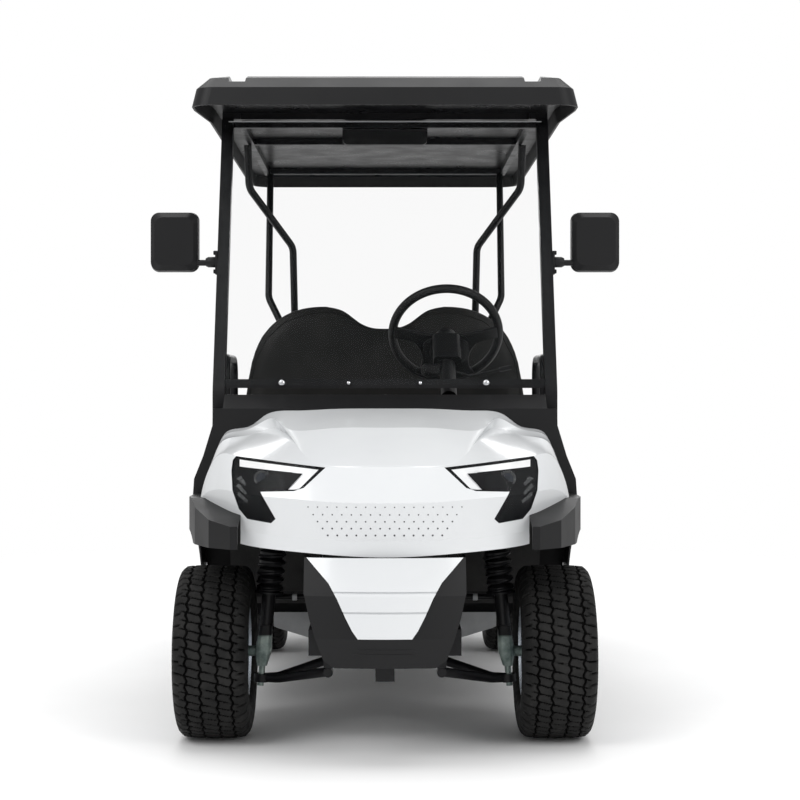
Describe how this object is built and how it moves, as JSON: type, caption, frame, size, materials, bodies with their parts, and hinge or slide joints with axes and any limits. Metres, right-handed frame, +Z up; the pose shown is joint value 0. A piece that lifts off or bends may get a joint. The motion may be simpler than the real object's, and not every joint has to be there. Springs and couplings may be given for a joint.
{
  "type": "golf cart",
  "caption": "Small open electric cart with a hard roof on posts, two facing-forward seats, a rear-facing bench, steered front wheels.",
  "frame": {"origin": "on the floor under the middle of the bounding box", "axes": "+Z up, nose towards -Y, +X to the cart's left"},
  "size_m": [1.41, 2.7998, 1.905],
  "materials": {
    "white_body": "glossy",
    "black_plastic": "satin",
    "roof_lining": "glossy",
    "floor_plastic": "ribbed",
    "black_frame": "satin",
    "grey_casting": "rough",
    "clear_panel": "clear",
    "lamp_housing": "glossy",
    "red_lamp": "glossy",
    "seat_vinyl": "grained",
    "seat_board": "satin",
    "battery_case": "satin",
    "tyre_rubber": "matte",
    "wheel_alloy": "satin"
  },
  "bodies": {
    "chassis": {"cowl": "white_body", "chin_plate": "white_body", "rear_body": "white_body", "chin_surround": "black_plastic", "wheel_flares": "black_plastic", "dashboard": "black_plastic", "roof": "black_plastic", "mirrors": "black_plastic", "steering_column": "black_plastic", "roof_liner": "roof_lining", "floor_pan": "floor_plastic", "frame": "black_frame", "windshield_frame": "black_frame", "roof_frame": "black_frame", "seat_back_frame": "black_frame", "armrests": "black_frame", "footrest": "black_frame", "front_arms": "black_frame", "rear_springs": "black_frame", "pedals": "black_frame", "rear_axle": "grey_casting", "windshield": "clear_panel", "headlamp_lenses": "clear_panel", "headlamps": "lamp_housing", "tail_lamps": "red_lamp", "front_seat_back": "seat_vinyl", "rear_seat_back": "seat_vinyl", "battery_pack": "battery_case"},
    "steering": {"steering_wheel": "black_plastic"},
    "knuckle_l": {"knuckle_left": "grey_casting"},
    "knuckle_r": {"knuckle_right": "grey_casting"},
    "linkage": {"tie_rods": "black_frame"},
    "wheel_fl": {"tyre_front_left": "tyre_rubber", "rim_front_left": "wheel_alloy"},
    "wheel_fr": {"tyre_front_right": "tyre_rubber", "rim_front_right": "wheel_alloy"},
    "wheel_rl": {"tyre_rear_left": "tyre_rubber", "rim_rear_left": "wheel_alloy"},
    "wheel_rr": {"tyre_rear_right": "tyre_rubber", "rim_rear_right": "wheel_alloy"},
    "front_seat": {"front_seat_base": "seat_board", "front_cushion": "seat_vinyl"},
    "rear_seat": {"rear_seat_board": "seat_board", "rear_cushion": "seat_vinyl"}
  },
  "joints": [
    {"name": "steering_turn", "type": "hinge", "parent": "chassis", "child": "steering", "pos_m": [0.19, -0.42, 1.149], "axis": [0, 0.8192, 0.5736], "range_deg": [-540, 540]},
    {"name": "steer_left", "type": "hinge", "parent": "chassis", "child": "knuckle_l", "pos_m": [0.348, -0.98, 0.165], "axis": [-0.0951, 0, 0.9955], "range_deg": [-31, 31]},
    {"name": "steer_right", "type": "hinge", "parent": "chassis", "child": "knuckle_r", "pos_m": [-0.348, -0.98, 0.165], "axis": [0.0951, 0, 0.9955], "range_deg": [-31, 31]},
    {"name": "rod_slide", "type": "slide", "parent": "chassis", "child": "linkage", "axis": [1, 0, 0], "range_m": [-0.058, 0.058]},
    {"name": "spin_front_left", "type": "hinge", "parent": "knuckle_l", "child": "wheel_fl", "pos_m": [0.473, -0.98, 0.24], "axis": [1, 0, 0], "continuous": true},
    {"name": "spin_front_right", "type": "hinge", "parent": "knuckle_r", "child": "wheel_fr", "pos_m": [-0.473, -0.98, 0.24], "axis": [1, 0, 0], "continuous": true},
    {"name": "spin_rear_left", "type": "hinge", "parent": "chassis", "child": "wheel_rl", "pos_m": [0.473, 0.7, 0.24], "axis": [1, 0, 0], "continuous": true},
    {"name": "spin_rear_right", "type": "hinge", "parent": "chassis", "child": "wheel_rr", "pos_m": [-0.473, 0.7, 0.24], "axis": [1, 0, 0], "continuous": true},
    {"name": "front_seat_lift", "type": "hinge", "parent": "chassis", "child": "front_seat", "pos_m": [0, -0.1053, 0.7003], "axis": [1, 0, 0], "range_deg": [0, 75]},
    {"name": "rear_seat_flip", "type": "hinge", "parent": "chassis", "child": "rear_seat", "pos_m": [0, 1.0903, 0.7003], "axis": [-1, 0, 0], "range_deg": [0, 180]}
  ],
  "couplings": [
    {"joint": "steer_left", "follows": "steering_turn", "ratio": 0.055556},
    {"joint": "steer_right", "follows": "steering_turn", "ratio": 0.055556},
    {"joint": "rod_slide", "follows": "steering_turn", "m_per_rad": -0.0060733}
  ]
}
